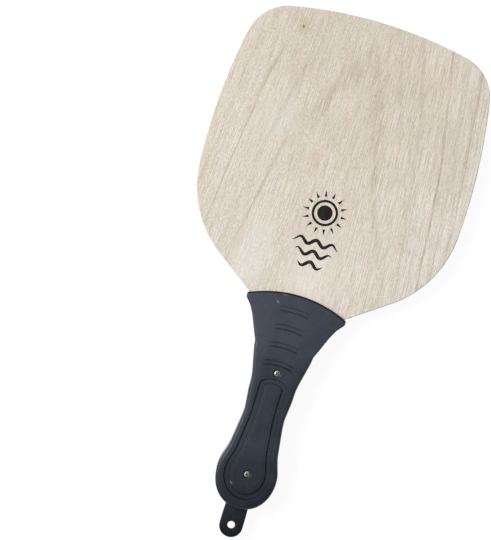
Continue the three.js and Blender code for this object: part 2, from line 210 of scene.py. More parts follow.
grip_stations = [
    (0.0285, 0.0246), (0.0319, 0.0243), (0.0354, 0.0236), (0.0383, 0.0227), (0.0417, 0.0216),
    (0.0452, 0.0206), (0.0481, 0.0199), (0.0579, 0.0186), (0.0702, 0.017), (0.0775, 0.0165),
    (0.0835, 0.0171), (0.093, 0.0181), (0.1025, 0.0184), (0.1086, 0.0194), (0.1189, 0.0218),
    (0.1276, 0.0237), (0.1319, 0.0241), (0.1379, 0.0268), (0.1509, 0.0322), (0.1578, 0.0359),
    (0.1638, 0.041), (0.1674, 0.041),
]
neck_half = min(half for _, half in grip_stations)


def arc(centre, radius, start, end):
    """Points of an arc, as complex numbers across and along the racket."""
    return [centre + cmath.rect(radius, angle) for angle in np.linspace(start, end, arc_points)]


def meeting_point(centre_a, distance_a, centre_b, distance_b):
    """The point to the right of two centres that lies at a given distance from each."""
    line = centre_b - centre_a
    ahead = (distance_a ** 2 - distance_b ** 2 + abs(line) ** 2) / (2 * abs(line))
    off = math.sqrt(distance_a ** 2 - ahead ** 2)
    both = [centre_a + line / abs(line) * complex(ahead, side) for side in (off, -off)]
    return max(both, key=lambda point: point.real)


def both_sides(right):
    """The right half of an outline, from low to high, becomes the whole, anticlockwise."""
    left = [complex(-point.real, point.imag) for point in right if point.real > 0]
    return np.array(list(right) + left[::-1])


def mouth_edge(x):
    """Place along of the grip's arched mouth."""
    return head_corner + head_rise * (1 - (x / head_half_width) ** 2)


def wood_outline():
    """Tongue, shoulders at the mouth of the grip, straight flanks and the blade's chain of arcs."""
    inset = cover_wall + pocket_clearance
    tongue_half = neck_half - inset
    right = [complex(tongue_half - tongue_corner, tongue_end),
             complex(tongue_half, tongue_end + tongue_corner)]
    right += [complex(half - inset, y) for y, half in grip_stations if neck <= y < head_corner]
    for x in (head_half_width - inset, head_half_width - corner_wall):
        right.append(complex(x, mouth_edge(x) + pocket_clearance))
    side = complex(blade_width / 2 - side_radius, blade_widest)
    top = complex(0, racket_length - top_radius)
    shoulder = meeting_point(top, top_radius - shoulder_radius, side, side_radius - shoulder_radius)
    flank = cmath.rect(1, flank_angle)
    start = right[-1] + 1j * flank * lower_radius
    back = ((start - side) * flank.conjugate()).real
    slide = math.sqrt(back ** 2 - abs(start - side) ** 2 + (side_radius - lower_radius) ** 2) - back
    lower = start + flank * slide
    turns = [flank_angle - math.pi / 2, cmath.phase(lower - side), cmath.phase(shoulder - side),
             cmath.phase(shoulder - top), math.pi / 2]
    centres = [(lower, lower_radius), (side, side_radius), (shoulder, shoulder_radius), (top, top_radius)]
    for (centre, radius), first, last in zip(centres, turns, turns[1:]):
        right += arc(centre, radius, first, last)[1:]
    right[-1] = complex(0, racket_length)
    return both_sides(right) + 1j * butt


def hole_loop(place, radius, points):
    """A round hole's edge, clockwise."""
    return place + radius * np.exp(-2j * np.pi * np.arange(points) / points)


def shaded(name, mesh, sharp=sharp_angle):
    """A mesh becomes an object with smooth shading between its sharp edges."""
    mesh.shade_smooth()
    mesh.set_sharp_from_angle(angle=sharp)
    return into_scene(name, mesh)


def finished(name, body):
    """A bmesh becomes an object with faces that point outwards."""
    bmesh.ops.recalc_face_normals(body, faces=body.faces)
    mesh = bpy.data.meshes.new(name)
    body.to_mesh(mesh)
    body.free()
    return shaded(name, mesh)


def wall(body, rings):
    """Faces between rings of as many points, from each ring to the next."""
    for low, high in zip(rings, rings[1:]):
        for i in range(len(low)):
            body.faces.new(list(dict.fromkeys((low[i - 1], low[i], high[i], high[i - 1]))))


def stacked(name, loops, levels):
    """Closed solids from anticlockwise outlines and clockwise holes, drawn in by each level's inset."""
    body = bmesh.new()
    caps = [[], []]
    for loop in loops:
        along = np.roll(loop, -1) - np.roll(loop, 1)
        outward = -1j * along / abs(along)
        rings = [[body.verts.new((p.real, p.imag, z)) for p in loop - outward * inset] for inset, z in levels]
        wall(body, rings)
        for cap, ring in zip(caps, (rings[0], rings[-1])):
            cap += [body.edges.get((ring[i - 1], ring[i])) for i in range(len(ring))]
    for cap in caps:
        bmesh.ops.triangle_fill(body, edges=cap, use_beauty=True)
    return finished(name, body)


outline = wood_outline()
bolt_spots = [complex(0, butt + place) for place in (lower_bolt, upper_bolt)]
wood_loops = [outline] + [hole_loop(spot, sleeve_hole_radius, sleeve_hole_points) for spot in bolt_spots]
plies = {}
for node, recess in ply_recess.items():
    low, high = (corner.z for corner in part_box(node))
    pinched = recess + glue_line / 2
    levels = [(pinched, low), (recess, low + glue_line), (recess, high - glue_line), (pinched, high)]
    plies[node] = stacked(node + "_sheet", wood_loops, levels)
for node, outwards in (("front_face_veneer", 1), ("back_face_veneer", -1)):
    inner, outer = [corner.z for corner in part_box(node)][::outwards]
    levels = [(0, inner)]
    for turn in np.linspace(0, math.pi / 2, rim_steps + 1):
        height = outer - outwards * rim_radius * (1 - math.sin(turn))
        levels.append((rim_radius * (1 - math.cos(turn)), height))
    plies[node] = stacked(node + "_sheet", wood_loops, levels)

# A ring has its place, strength and rise, and a family where it begins and is whole. A patch of noise has
# its width, length, depth, shift, detail and distortion, and a mask its two levels and its values there. A
# wood's shades are its pale ground, tan clouds, late wood and pores. A mark has its place across and along
# from the upper screw, core, halo, stain and share.
figure = {"Apex": butt + 0.366, "Arch": 0.017, "Lean": 1.1}
least_fan = 0.5
figure_reach = 0.12
figure_drift = 0.008
heart_offset = 0.003
spread_middle = 0.345
spread_loss = 2.4
ring_fall = 0.0009
left_rings = [(0.046, 0.2, 0.005), (0.069, 0.72, 0.0016), (0.09, 0.25, 0.006)]
low_left_rings = [(0.031, 0.6, 0.003)]
right_rings = [(0.036, 0.2, 0.004), (0.052, 0.2, 0.004), (0.074, 1.0, 0.002), (0.085, 0.3, 0.004),
               (0.096, 0.6, 0.004)]
ring_families = [(left_rings, -0.014, 0.01), (low_left_rings, 0.05, 0.09), (right_rings, -0.06, -0.04)]
tan_band = [(0.012, 0.0), (0.0165, 1.0), (0.0205, 1.0), (0.024, 0.0), (0.039, 0.0), (0.045, 0.5), (0.05, 0.5),
            (0.057, 0.0)]
grain_patches = {
    "drift": (0.03, 0.07, 0.02, 0, 3, 0), "strength": (0.02, 0.05, 0.02, 7, 2, 0),
    "dashes": (0.0016, 0.016, 0.002, 11, 2, 0), "long_fibre": (0.00075, 0.026, 0.001, 5, 2, 0),
    "short_fibre": (0.0007, 0.0024, 0.001, 9, 1, 0), "cloud": (0.03, 0.1, 0.02, 3, 3, 0.4),
    "tint": (0.014, 0.03, 0.02, 17, 2, 0.3), "streak": (0.003, 0.05, 0.004, 13, 3, 0),
    "pore": (0.0005, 0.008, 0.0006, 1, 1, 0),
}
grain_masks = {
    "right": (-0.012, 0.012), "strong": (0.3, 0.5, 0.55, 1), "ring_dash": (0.3, 0.55, 0.3, 1),
    "band_dash": (0.36, 0.6), "left_band": (0.035, 0.07, 1, 0), "right_band": (0.1, 0.18, 1, 0),
    "heart": (0.15, 0.7, 1, 0), "heart_end": (0.03, 0.2, 1, 0), "crown": (-0.025, 0.12, 1, 0),
    "sideways": (-0.11, 0.11), "fibre_side": (-0.07, 0.05, 0.53, 0.4), "pore": (0.56, 0.7),
}
wood_masks = {
    "Tint": (0.36, 0.64), "Cloud": (0.35, 0.7, 0, 0.25), "Streak": (0.4, 0.75, 0, 0.25),
    "Fibre": (0.32, 0.68, 0.785, 1.14), "ragged": (0.3, 0.7, 0.75, 1.3), "roughness": (0.2, 0.8, 0.58, 0.74),
}
grain_shares = {"Heart": 0.22, "Band": 0.28, "Ring": 0.75, "Pore": 0.3}
tint_shades = [(0.99, 1.006, 0.982, 1), (1.01, 0.99, 1.0, 1)]
sideways_shades = [(0.94, 0.94, 0.95, 1), (1.045, 1.045, 1.08, 1)]
crown_shade = (0.94, 0.935, 0.91, 1)
wood_relief = 0.35
relief_depth = 0.0002
wood_ior = 1.4
wood_shades = {
    "face_wood": [(226, 218, 206), (206, 192, 166), (168, 142, 108), (158, 138, 114)],
    "core_wood": [(216, 203, 180), (198, 180, 150), (168, 142, 108), (128, 104, 78)],
    "cross_wood": [(188, 166, 132), (170, 144, 108), (140, 112, 80), (100, 78, 56)],
}
mark_slimness = (1, 0.5, 1)
natural_marks = [
    (0.084, 0.2, 0.004, 0.026, (190, 172, 146), 0.24), (0.058, 0.252, 0.004, 0.022, (196, 172, 142), 0.16),
    (0.004, 0.07, 0.004, 0.03, (240, 234, 224), 0.4), (-0.048, 0.082, 0.004, 0.024, (240, 236, 230), 0.3),
    (-0.02, 0.168, 0.001, 0.009, (196, 168, 140), 0.28),
    (-0.0592, 0.272, 0.0008, 0.006, (176, 140, 108), 0.4),
    (-0.0592, 0.272, 0.0002, 0.0012, (84, 66, 52), 0.8),
    (-0.06, 0.2, 0.006, 0.022, (226, 224, 222), 0.22),
]


def colour(red, green, blue):
    """A colour named as it shows on a screen, 0 to 255, as the linear colour that a shader takes."""
    shares = [value / 255 for value in (red, green, blue)]
    return tuple(share / 12.92 if share <= 0.04045 else ((share + 0.055) / 1.055) ** 2.4
                 for share in shares) + (1,)


def times(first, *others):
    """A product."""
    for other in others:
        first = maths("MULTIPLY", first, other)
    return first


def mixed(factor, first, second, blend="MIX"):
    """The colour between two, at a factor that may vary over the surface."""
    return result("ShaderNodeMix", {0: factor, 6: first, 7: second}, 2, data_type="RGBA", blend_type=blend)


def tinted(ground, shade):
    """A colour times a shade."""
    return mixed(1.0, ground, shade, "MULTIPLY")


def eased(value, low, high, to_low=0.0, to_high=1.0):
    """A value's smooth step from one level to another."""
    return result("ShaderNodeMapRange", {0: value, 1: low, 2: high, 3: to_low, 4: to_high},
                  interpolation_type="SMOOTHSTEP")


def noise(place, detail, distortion=0.0, scale=1.0):
    """Noise whose patches are one unit of the place across, or as many times smaller as the scale."""
    return result("ShaderNodeTexNoise", {"Vector": place, "Scale": scale, "Detail": detail,
                                         "Distortion": distortion}, "Fac")


def axes_of(vector):
    return place_node(vector.id_data, "ShaderNodeSeparateXYZ", {0: vector}).outputs


def vector_of(x=0.0, y=0.0, z=0.0):
    return result("ShaderNodeCombineXYZ", {0: x, 1: y, 2: z})


def vector_maths(operation, first, second=(0, 0, 0)):
    """A Vector Math node's result, a value where the operation measures."""
    output = "Value" if operation in ("LENGTH", "DOT_PRODUCT", "DISTANCE") else "Vector"
    return result("ShaderNodeVectorMath", {0: first, 1: second}, output, operation=operation)


def bumped(height, strength, distance=relief_depth):
    return result("ShaderNodeBump", {"Height": height, "Strength": strength, "Distance": distance})


def principled(inputs):
    """Ends a material with its one surface."""
    surface_output(result("ShaderNodeBsdfPrincipled", inputs))


def open_tree(name, kind, inputs, outputs):
    """A node tree with its named sockets, the kind of each, and the values that come in."""
    tree = bpy.data.node_groups.new(name, kind + "NodeTree")
    for way, sockets in (("INPUT", inputs), ("OUTPUT", outputs)):
        for label, socket in sockets.items():
            tree.interface.new_socket(label, in_out=way, socket_type="NodeSocket" + socket)
    return tree, tree.nodes.new("NodeGroupInput").outputs


def use_group(group, **inputs):
    """Places a node group in a material with its own values."""
    return place_node(inputs["Vector"].id_data, "ShaderNodeGroup", inputs, node_tree=group).outputs


def graded(value, stops):
    """A grey level that runs through a row of stops, each a place in the figure and a level."""
    ramp = place_node(value.id_data, "ShaderNodeValToRGB", {"Fac": value})
    elements = ramp.color_ramp.elements
    first, *middle, last = [(place / figure_reach, (level,) * 3 + (1,)) for place, level in sorted(stops)]
    elements[0].position, elements[1].position = first[0], last[0]
    elements[0].color, elements[1].color = first[1], last[1]
    for position, level in middle:
        elements.new(position).color = level
    return ramp.outputs["Color"]


def veneer_grain():
    """Flat-sawn figure: rings arch over an apex and spread to the grip, with clouds, fibres and pores."""
    group, given = open_tree("veneer_grain", "Shader", {
        "Vector": "Vector", "Apex": "Float", "Arch": "Float", "Lean": "Float",
    }, dict.fromkeys(("Ring", "Band", "Heart", "Crown", "Sideways", "Cloud", "Tint", "Streak", "Fibre", "Pore"),
                     "Float"))
    axes = axes_of(given["Vector"])
    below = maths("SUBTRACT", given["Apex"], axes["Y"])
    fan = maths("MULTIPLY_ADD", below, given["Lean"], 1.0)
    across = maths("DIVIDE", axes["X"], maths("MAXIMUM", fan, least_fan))
    patches = {}
    for label, (width, length, depth, shift, detail, distortion) in grain_patches.items():
        place = vector_of(maths("MULTIPLY_ADD", across, 1 / width, shift), times(axes["Y"], 1 / length),
                          maths("MULTIPLY_ADD", axes["Z"], 1 / depth, shift))
        patches[label] = noise(place, detail, distortion)

    def masked(label, value):
        return eased(value, *grain_masks[label])

    aside = maths("ADD", axes["X"], heart_offset)
    squared = maths("MULTIPLY_ADD", aside, aside, maths("POWER", given["Arch"], 2.0))
    reach = maths("SQRT", squared)
    spread = maths("MULTIPLY_ADD", reach, -spread_loss, spread_middle)
    hyperbola = maths("SUBTRACT", reach, times(below, spread))
    drift = maths("SUBTRACT", patches["drift"], 0.5)
    growth = maths("DIVIDE", maths("MULTIPLY_ADD", drift, figure_drift, hyperbola), figure_reach)
    families = []
    for rings, begin, whole in ring_families:
        stops = []
        for ring, strength, rise in rings:
            stops += [(ring - rise, 0.0), (ring, strength), (ring + ring_fall, 0.0)]
        families.append(times(graded(growth, stops), eased(below, begin, whole)))
    right_side = masked("right", axes["X"])
    ring = mixed(right_side, maths("ADD", families[0], families[1]), families[2])
    faded = mixed(right_side, masked("left_band", below), masked("right_band", below))
    place_node(group, "NodeGroupOutput", {
        "Ring": times(ring, masked("strong", patches["strength"]), masked("ring_dash", patches["dashes"])),
        "Band": times(graded(growth, tan_band), faded, masked("band_dash", patches["dashes"])),
        "Heart": times(masked("heart", growth), masked("heart_end", below)),
        "Crown": masked("crown", below), "Sideways": masked("sideways", axes["X"]), "Cloud": patches["cloud"],
        "Tint": patches["tint"], "Streak": patches["streak"], "Pore": masked("pore", patches["pore"]),
        "Fibre": mixed(masked("fibre_side", axes["X"]), patches["long_fibre"], patches["short_fibre"]),
    })
    return group


def wood_finish(name, crosswise=False, flecks=()):
    """Bare sanded wood, from its pale ground through tan clouds to late wood and open pores."""
    pale, tan, late_wood, pore = [colour(*shade) for shade in wood_shades[name]]
    material, tree = new_material(name)
    where = result("ShaderNodeTexCoord", output="Object", tree=tree)
    if crosswise:
        where = result("ShaderNodeMapping", {"Vector": where, "Rotation": (0, 0, math.pi / 2)})
    grain = use_group(grain_group, Vector=where, **figure)
    shares = {label: times(grain[label], share) for label, share in grain_shares.items()}
    masks = {label: eased(grain[label], *wood_masks[label]) for label in ("Tint", "Cloud", "Streak", "Fibre")}
    ground = mixed(shares["Heart"], pale, tan)
    ground = tinted(ground, mixed(masks["Tint"], *tint_shades))
    # Darker towards the left of the blade, paler and bluer towards the right.
    ground = tinted(ground, mixed(grain["Sideways"], *sideways_shades))
    ground = mixed(grain["Crown"], ground, tinted(ground, crown_shade))
    for factor, stain in ((masks["Cloud"], tan), (masks["Streak"], tan), (shares["Band"], late_wood),
                          (shares["Ring"], late_wood)):
        ground = mixed(factor, ground, stain)
    ground = tinted(ground, masks["Fibre"])
    ground = mixed(shares["Pore"], ground, pore)
    for spot, core, halo, stain, share in flecks:
        slim = vector_maths("MULTIPLY", vector_maths("SUBTRACT", where, spot), mark_slimness)
        ragged = eased(grain["Fibre"], *wood_masks["ragged"])
        away = times(vector_maths("LENGTH", slim), ragged)
        ground = mixed(eased(away, core, halo, share, 0.0), ground, stain)
    height = maths("SUBTRACT", grain["Fibre"], grain["Pore"])
    principled({
        "Base Color": ground, "Normal": bumped(height, wood_relief), "IOR": wood_ior,
        "Roughness": eased(grain["Streak"], *wood_masks["roughness"]),
    })
    return material


grain_group = veneer_grain()
flecks = [((across, screw_spot.imag + along, blade_face), core, halo, colour(*stain), share)
          for across, along, core, halo, stain, share in natural_marks]
woods = {"face_wood": wood_finish("face_wood", flecks=flecks), "core_wood": wood_finish("core_wood"),
         "cross_wood": wood_finish("cross_wood", crosswise=True)}
for node, piece in plies.items():
    slot = ply_slots[node]
    piece.data.materials.append(woods[slot])
    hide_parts(node)
    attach(piece, "root")

# Print: one flat figure screen-printed on the blade above the grip in black ink, a sun with its rays over
# three waves. The film is only a few hundredths of a millimetre thick, so the wood's fibres show in it where
# it is worn.
print_middle = 0.229
ink_thickness = 0.00004
sun_rise = 0.0165
sun_disc = 0.0062
sun_ring = (0.0086, 0.0106)
sun_points = 64
ray_count = 14
ray_start = 0.0132
ray_length = 0.0052
ray_half_width = 0.0011
wave_places = (-0.0085, -0.0175, -0.0265)
wave_half_lengths = (0.0195, 0.0155, 0.0105)
wave_period = 0.0129
wave_height = 0.0021
wave_half_width = 0.0014
wave_thinnest = 0.04
wave_steps = 60
ink_shades = [colour(8, 8, 8), colour(30, 28, 26)]
ink_bare = colour(168, 156, 140)
ink_masks = {"shade": (0.3, 0.7), "bare": (0.36, 0.46, 0, 0.35), "roughness": (0.2, 0.8, 0.5, 0.7)}
ink_relief = 0.3
ink_shine = 0.25


def wave_outline(half_length, place):
    """A wavy stroke that thins to its ends, anticlockwise."""
    x = np.linspace(-half_length, half_length, wave_steps)
    spine = x + 1j * (place + wave_height * np.cos(2 * math.pi * x / wave_period))
    aside = np.gradient(spine) * 1j
    aside *= wave_half_width * np.clip(1 - abs(x / half_length) ** 3, wave_thinnest, 1) / abs(aside)
    return np.concatenate([spine - aside, (spine + aside)[::-1]])


def close_tree(tree, shape, finish):
    """Ends a Geometry Nodes tree: copies become real meshes and take their material."""
    whole = result("GeometryNodeRealizeInstances", {0: shape})
    done = result("GeometryNodeSetMaterial", {0: whole, "Material": finish})
    place_node(tree, "NodeGroupOutput", {0: done})
    return tree


def copies_on(points, piece, turn):
    """Copies of an object on points, each turned about the upright."""
    shape = result("GeometryNodeObjectInfo", {"Object": piece}, "Geometry")
    about = vector_of(z=turn)
    return result("GeometryNodeInstanceOnPoints", {"Points": points, "Instance": shape, "Rotation": about})


def ray_ring():
    """Geometry Nodes: copies of one shape join the print round a circle, each turned outwards."""
    tree, given = open_tree("ray_ring", "Geometry", {
        "Print": "Geometry", "Ray": "Object", "Count": "Int", "Radius": "Float", "Middle": "Vector",
        "Ink": "Material",
    }, {"Print": "Geometry"})
    ring = result("GeometryNodeMeshCircle", {"Vertices": given["Count"], "Radius": given["Radius"]})
    ring = result("GeometryNodeTransform", {0: ring, "Translation": given["Middle"]})
    step = maths("DIVIDE", 2 * math.pi, given["Count"])
    rays = copies_on(ring, given["Ray"], times(result("GeometryNodeInputIndex", tree=tree), step))
    joined = tree.nodes.new("GeometryNodeJoinGeometry")
    for shape in (rays, given["Print"]):
        tree.links.new(shape, joined.inputs[0])
    return close_tree(tree, joined.outputs[0], given["Ink"])


def built_with(piece, tree, **values):
    """Adds a Geometry Nodes modifier with its inputs filled by their names."""
    step = piece.modifiers.new(tree.name, "NODES")
    step.node_group = tree
    for socket in tree.interface.items_tree:
        key = socket.name.lower().replace(" ", "_")
        if socket.in_out == "INPUT" and key in values:
            step[socket.identifier] = values[key]


def plain_mesh(name, piece, sharp=sharp_angle):
    """The finished result of a piece's modifiers as a new object, and the piece itself goes."""
    mesh = bpy.data.meshes.new_from_object(piece.evaluated_get(bpy.context.evaluated_depsgraph_get()))
    mesh.name = name
    bpy.data.objects.remove(piece)
    return shaded(name, mesh, sharp)


def ink_finish():
    """Dry black ink: matt, a little uneven, and thin where it lies over the ridges of the grain."""
    material, tree = new_material("black_ink")
    where = result("ShaderNodeTexCoord", output="Object", tree=tree)
    grain = use_group(grain_group, Vector=where, **figure)
    film = mixed(eased(grain["Streak"], *ink_masks["shade"]), *ink_shades)
    bare = eased(times(grain["Fibre"], grain["Streak"]), *ink_masks["bare"])
    principled({
        "Base Color": mixed(bare, film, ink_bare), "Normal": bumped(grain["Fibre"], ink_relief),
        "Roughness": eased(grain["Fibre"], *ink_masks["roughness"]), "Specular IOR Level": ink_shine,
    })
    return material


middle = complex(0, butt + print_middle)
sun = middle + 1j * sun_rise
ink_levels = [(0, blade_face - ink_thickness / 4), (0, blade_face + ink_thickness)]
strokes = [hole_loop(sun, radius, sun_points)[::-1] for radius in (sun_disc, sun_ring[1])]
strokes.append(hole_loop(sun, sun_ring[0], sun_points))
strokes += [middle + wave_outline(half_length, place)
            for half_length, place in zip(wave_half_lengths, wave_places)]
print_blank = stacked("print_blank", strokes, ink_levels)
ray_shape = np.array([complex(0, -ray_half_width), complex(ray_length, 0), complex(0, ray_half_width)])
ray = stacked("ray", [ray_shape], ink_levels)
built_with(print_blank, ray_ring(), ray=ray, count=ray_count, radius=ray_start,
           middle=(sun.real, sun.imag, 0), ink=ink_finish())
printed = plain_mesh("printed_figure", print_blank)
bpy.data.objects.remove(ray)
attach(printed, "root")

# Hanging tab: a flat strip of softer black rubber with a round end and a hole, to hang the racket up or to
# tie a wrist cord to. Its wider head lies in a pocket between the two covers, and its edges are moulded
# round.
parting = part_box("back_grip_cover")[1].z
tab_low, tab_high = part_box("hanging_tab")
tab_length = butt - tab_low.y
tab_tip_radius = 0.0095
tab_tip_points = 20
tab_root_half = 0.0093
tab_head_place = 0.006
tab_head_depth = 0.008
tab_head_half = 0.0125
tab_edge_radius = 0.0008
tab_edge_steps = 5
tab_hole_radius = 0.003
tab_hole_from_tip = 0.01
tab_hole_points = 40
butt_bow = 0.0017
patch_scale = 70
blot_scale = 260
fine_scale = 1600
scuff_scale = 1100
patch_drift = 0.02
rubber_masks = {
    "level": (0, 0.65), "patch": (0.25, 0.75, 0.9, 1.1), "blot": (0.3, 0.7, 0.93, 1.07), "dust": (0.62, 0.72),
    "dusty": (0.4, 0.65, 0, 0.16), "seat": (0.0029, 0.0039, 0.55, 0), "mouth": (-0.0019, -0.0011),
    "flat": (0.9, 0.98, 0.62, 1), "torn": (0.3, 0.7, 0.5, 1.5), "scuff": (0.2, 1, 1, 0),
}
dull_levels = (0.3, 0.7)
roughness_range = 0.1
cool_shine = (0.85, 0.88, 1, 1)
rubber_dust = colour(142, 146, 152)
# Painted shade: the near-black of the shadow lines and the rings round the screw seats.
shade_black = colour(9, 10, 13)
# A rubber's shades: its steep rounds and walls (clean rubber and painted shade), handled, dull.
tab_shades = [colour(8, 9, 11), colour(11, 14, 18), colour(30, 35, 42)]


def tab_outline(clearance=0.0):
    """The strip with its wider head, or with a clearance the pocket that holds it."""
    root, head = tab_root_half + clearance, tab_head_half + clearance
    if clearance:
        right = [complex(root, -tab_length)]
    else:
        turns = np.linspace(0, math.pi / 2, tab_tip_points)
        right = [tab_tip_radius * complex(math.sin(t), 1 - math.cos(t)) - 1j * tab_length for t in turns]
        for share in (1, 0.5, 0):
            right.append(complex(root + (tab_tip_radius - root) * share ** 2, -tab_head_place * share))
    right += [complex(root, tab_head_place - clearance), complex(head, tab_head_place - clearance),
              complex(head, tab_head_place + tab_head_depth + clearance)]
    return both_sides(right) + 1j * butt


turns = np.linspace(0, math.pi / 2, tab_edge_steps + 1)
rim = [(tab_edge_radius * (1 - math.sin(turn)), tab_edge_radius * (1 - math.cos(turn))) for turn in turns]
tab_levels = [(inset, tab_low.z + rise) for inset, rise in rim]
tab_levels += [(inset, tab_high.z - rise) for inset, rise in reversed(rim)]
hole_place = complex(0, tab_low.y + tab_hole_from_tip)
tab_loops = [tab_outline(), hole_loop(hole_place, tab_hole_radius, tab_hole_points)]
tab = stacked("tab_strip", tab_loops, tab_levels)


def rub_mark():
    """A short pale scuff: a mask along a line between two points, broken up by noise."""
    group, given = open_tree("rub_mark", "Shader", {
        "Vector": "Vector", "Start": "Vector", "End": "Vector", "Width": "Float",
    }, {"Mask": "Float"})
    run = vector_maths("SUBTRACT", given["End"], given["Start"])
    away = vector_maths("SUBTRACT", given["Vector"], given["Start"])
    ahead, whole = [vector_maths("DOT_PRODUCT", way, run) for way in (away, run)]
    foot = vector_maths("MULTIPLY", run, maths("DIVIDE", ahead, whole, clamp=True))
    torn = eased(noise(given["Vector"], 2, scale=scuff_scale), *rubber_masks["torn"])
    apart = vector_maths("DISTANCE", away, foot)
    near = maths("DIVIDE", apart, times(given["Width"], torn))
    place_node(group, "NodeGroupOutput", {0: eased(near, *rubber_masks["scuff"])})
    return group


def rubber_finish(name, shades, fades, grit, roughness, shine, lip, seats=(), marks=()):
    """Moulded rubber: dull and dusty where level and paler to one end. Its rounds and walls are smoother and
    darker, partly clean rubber and partly painted shade, and painted shadow darkens a lip line and the screw
    seats.
    """
    clean_and_shaded_walls, handled, dull = shades
    material, tree = new_material(name)
    place = place_node(tree, "ShaderNodeTexCoord").outputs

    def masked(label, value):
        return eased(value, *rubber_masks[label])

    facing = maths("ABSOLUTE", axes_of(place["Normal"])["Z"])
    axes = axes_of(place["Object"])
    patch = noise(place["Object"], 4, scale=patch_scale)
    blot = noise(place["Object"], 2, scale=blot_scale)
    fine = noise(place["Object"], 2, scale=fine_scale)
    along = maths("MULTIPLY_ADD", maths("SUBTRACT", patch, 0.5), patch_drift, axes["Y"])
    worn = 0.0
    for low_place, high_place, share in fades:
        worn = maths("ADD", worn, eased(along, low_place, high_place, 0.0, share))
    ground = mixed(worn, handled, dull)
    ground = tinted(ground, times(masked("patch", patch), masked("blot", blot)))
    ground = mixed(times(masked("dust", fine), masked("dusty", patch)), ground, rubber_dust)
    for start, end, width, strength in marks:
        mark = use_group(scuff, Vector=place["Object"], Start=start, End=end, Width=width)["Mask"]
        ground = mixed(times(mark, strength), ground, rubber_dust)
    # Steep rounds and walls take a darker colour: partly clean rubber, partly painted shade.
    ground = mixed(masked("level", facing), clean_and_shaded_walls, ground)
    flat = vector_of(axes["X"], axes["Y"])
    # Painted shade: a dark ring round each screw seat's hollow.
    for seat in seats:
        ground = mixed(masked("seat", vector_maths("DISTANCE", flat, seat)), ground, shade_black)
    # Painted shadow: a near-black band along a bowed line, at the cover's mouth on the wood or at the tab's
    # crease under the butt.
    corner, rise, half_width = lip
    bow = times(axes["X"], axes["X"], rise / half_width ** 2)
    past = maths("ADD", bow, maths("SUBTRACT", axes["Y"], corner + rise))
    dulled = eased(patch, *dull_levels, roughness, roughness + roughness_range)
    principled({
        "Base Color": mixed(masked("mouth", past), ground, shade_black),
        "Normal": bumped(fine, grit), "Roughness": times(dulled, masked("flat", facing)),
        "Specular IOR Level": shine, "Specular Tint": cool_shine,
    })
    return material


scuff = rub_mark()
# The tab's dark band where it meets the butt is a painted shadow.
tab_finish = rubber_finish("tab_rubber", tab_shades, [(tab_low.y, butt, 1.0)], grit=0.2, roughness=0.5,
                           shine=0.2, lip=(butt + butt_bow, -butt_bow, tab_root_half))
tab.data.materials.append(tab_finish)
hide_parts("hanging_tab")
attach(tab, "root")

# Grip covers: two shells moulded of dark rubber, alike and face to face, that clamp the tongue and the tab.
# Each has a raised pad in a moulded channel, four arched ribs on its head and a round seat for each screw.
# The fine lines are pressed into a smooth blank, and the pockets behind it are cut out.
grip_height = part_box("front_grip_cover")[1].z - parting
wood_half_thickness = (blade_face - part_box("back_face_veneer")[0].z) / 2
head_height = 0.0085
edge_radii = (0.0021, 0.0012)
mouth_edge_radius = 0.0016
slope_drops = (0.0012, 0.0016)
slope_widths = (0.009, 0.024)
butt_fullness = 0.93
edge_step = 0.0004
edge_window = 0.004
corner_window = 0.0013
edge_turns = np.radians((15, 30, 45, 60, 75, 90))
ring_keep = 0.97
round_points = 24
mouth_points = 60
parting_bevel = 0.00025
lattice_step = 0.00055
lattice_gap = 0.8
merge_distance = 1e-7
channel_half_width = 0.00225
channel_wall = 0.0006
channel_depth = 0.0012
channel_bulb = (0.0163, 0.0182)
channel_neck_half = 0.0092
channel_top = 0.1019
channel_top_rise = 0.0033
channel_top_points = 16
channel_brink = np.array([-1.1, 1.1])
channel_wall_rows = 4
channel_floor_rows = np.linspace(-0.5, 0.5, 3)
narrowing_shares = [(0.07, 0.035), (0.14, 0.125), (0.2, 0.235), (0.27, 0.375), (0.34, 0.5), (0.4, 0.58),
                    (0.6, 0.745), (0.85, 0.935), (1, 1)]
shoulder_width = 0.006
shoulder_depth = 0.00035
rib_first = 0.1198
rib_spacing = 0.0145
rib_count = 4
rib_half_length = 0.0138
rib_bow_half = 0.013
rib_points = 41
rib_fade_from = 0.0098
rib_rises = (0.0022, 0.0011)
rib_width = 0.0034
groove_half_width = 0.0007
groove_wall = 0.0006
groove_rows = np.linspace(-1.15, 1.15, 7)
lower_groove_depth = 0.00075
upper_groove_depth = 0.00055
seat_round = 0.0009
seat_round_depth = 0.0004
no_fade = (1.0, 2.0)
head_pocket_radius = 0.00275
bolt_seat = 0.0106
lip_gap = 0.00035
lip_depth = 0.0011
lip_overhang = 1.1
moulded_sharp_angle = math.radians(40)
cover_shades = [colour(28, 31, 38), colour(25, 29, 38), colour(54, 60, 70)]
cover_fades = [(butt + 0.01, butt + 0.058, 0.47), (butt + 0.11, butt + 0.142, 0.53)]
head_scuffs = [((-0.0162, 0.1674), (-0.0151, 0.1662), 0.0011, 0.5),
               ((-0.0135, 0.1741), (-0.0105, 0.1745), 0.0009, 0.5),
               ((-0.0084, 0.1448), (-0.0083, 0.1414), 0.0007, 0.35)]
pad_scuffs = [((-0.0109, 0.0193), (-0.0098, 0.0184), 0.0009, 0.5)]


def softened(loop, window):
    """A closed path of even steps, each point averaged with its neighbours under a bell."""
    reach = round(window / edge_step / 2)
    bell = np.hanning(2 * reach + 3)[1:-1]
    return np.convolve(np.concatenate([loop[-reach:], loop, loop[:reach]]), bell / bell.sum(), "valid")


def closed_path(right):
    """The whole of an outline in even steps, from its right half."""
    loop = both_sides(right)
    path = np.append(loop, loop[0])
    run = np.concatenate([[0], np.cumsum(abs(np.diff(path)))])
    places = np.linspace(0, run[-1], round(run[-1] / edge_step) + 1)[:-1]
    return np.interp(places, run, path.real) + 1j * np.interp(places, run, path.imag)


